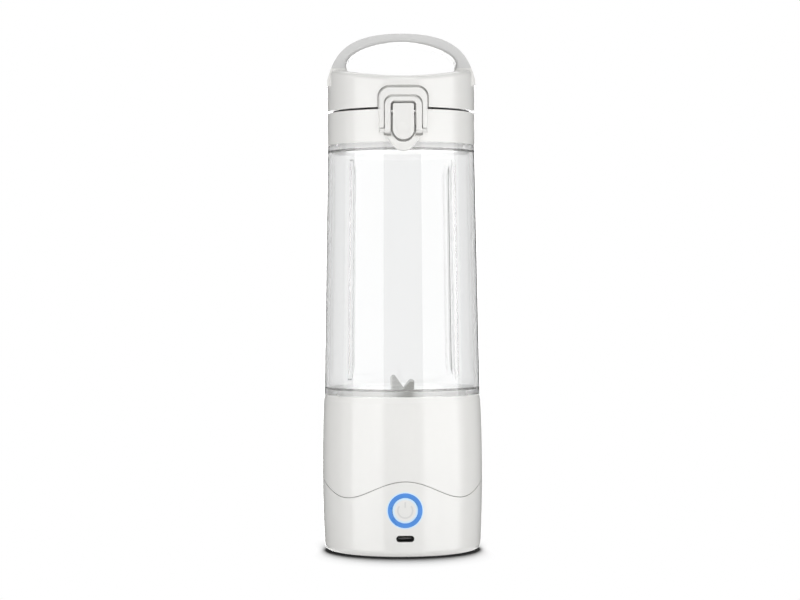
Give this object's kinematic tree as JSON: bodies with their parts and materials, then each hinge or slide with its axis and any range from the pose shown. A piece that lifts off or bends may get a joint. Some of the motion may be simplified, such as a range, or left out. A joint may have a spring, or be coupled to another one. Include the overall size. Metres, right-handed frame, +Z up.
{
  "type": "portable bottle blender",
  "caption": "Cordless bottle blender: motor base with lit power button and USB-C port, blades, clear ribbed cup, and a latched flip lid with spout and carry loop.",
  "frame": {"origin": "centre of the foot ring's lower face, on the surface that the blender stands on", "axes": "+Z up along the cup's axis, -Y to the front with the power button, charging port and lid latch, +X to the viewer's right"},
  "size_m": [0.084, 0.084, 0.2708],
  "materials": {
    "shell_plastic": "satin, warm white",
    "handle_plastic": "fine matte, light grey",
    "clear_cup": "clear, polished",
    "silicone": "matte silicone",
    "foot_rubber": "matte",
    "steel": "brushed",
    "screw_steel": "zinc plated",
    "light_guide": "diffusing, lit blue",
    "inner_plastic": "moulded black",
    "circuit_board": "solder mask",
    "led_package": "matte",
    "port_metal": "dark plated",
    "cell_wrap": "heat-shrink sleeve",
    "motor_steel": "plated",
    "magnet_ferrite": "sintered",
    "bronze": "sintered bronze"
  },
  "bodies": {
    "base": {"foot_ring": "foot_rubber", "bottom_cover": "shell_plastic", "cover_screws": "screw_steel", "lower_housing": "shell_plastic", "upper_housing": "shell_plastic", "light_ring": "light_guide", "main_board": "circuit_board", "usb_shell": "port_metal", "usb_tongue": "inner_plastic", "switch_board": "circuit_board", "tact_switch": "inner_plastic", "ring_leds": "led_package", "battery_cradle": "inner_plastic", "battery_cells": "cell_wrap", "motor_can": "motor_steel", "motor_end_cap": "inner_plastic", "motor_bushes": "bronze", "motor_magnets": "magnet_ferrite", "motor_plate": "inner_plastic", "plate_screws": "screw_steel", "motor_screws": "screw_steel", "blade_platform": "shell_plastic", "shaft_bush": "bronze", "shaft_seal": "silicone", "base_gasket": "silicone"},
    "rotor": {"motor_shaft": "steel", "armature": "motor_steel", "blade_spacer": "steel", "sweep_blade": "steel", "wing_blade": "steel", "blade_nut": "steel"},
    "button": {"power_button": "shell_plastic"},
    "cup": {"cup": "clear_cup"},
    "lid": {"lid_collar": "shell_plastic", "collar_gasket": "silicone", "hinge_pin": "steel", "latch_pin": "steel", "latch_spring": "steel"},
    "flip_lid": {"flip_cap": "shell_plastic", "carry_loop": "handle_plastic", "spout_seal": "silicone", "seal_retainer": "shell_plastic"},
    "lock": {"lock_ring": "shell_plastic"},
    "latch": {"latch_button": "shell_plastic"}
  },
  "joints": [
    {"name": "blade_spin", "type": "hinge", "parent": "base", "child": "rotor", "pos_m": [0, 0, 0.07], "axis": [0, 0, 1], "continuous": true},
    {"name": "power_press", "type": "slide", "parent": "base", "child": "button", "axis": [0, 1, 0], "range_m": [0, 0.0008], "stiffness_N_per_m": 900},
    {"name": "cup_off", "type": "slide", "parent": "base", "child": "cup", "axis": [0, 0, 1], "range_m": [0, 0.06]},
    {"name": "lid_off", "type": "slide", "parent": "cup", "child": "lid", "axis": [0, 0, 1], "range_m": [0, 0.03]},
    {"name": "cap_flip", "type": "hinge", "parent": "lid", "child": "flip_lid", "pos_m": [0, 0.0381, 0.2301], "axis": [-1, 0, 0], "range_deg": [0, 115]},
    {"name": "lock_swing", "type": "hinge", "parent": "lid", "child": "lock", "pos_m": [0, -0.0382, 0.2183], "axis": [1, 0, 0], "range_deg": [0, 100]},
    {"name": "latch_press", "type": "hinge", "parent": "lid", "child": "latch", "pos_m": [0, -0.0377, 0.228], "axis": [1, 0, 0], "range_deg": [0, 5], "stiffness_Nm_per_rad": 0.2}
  ]
}
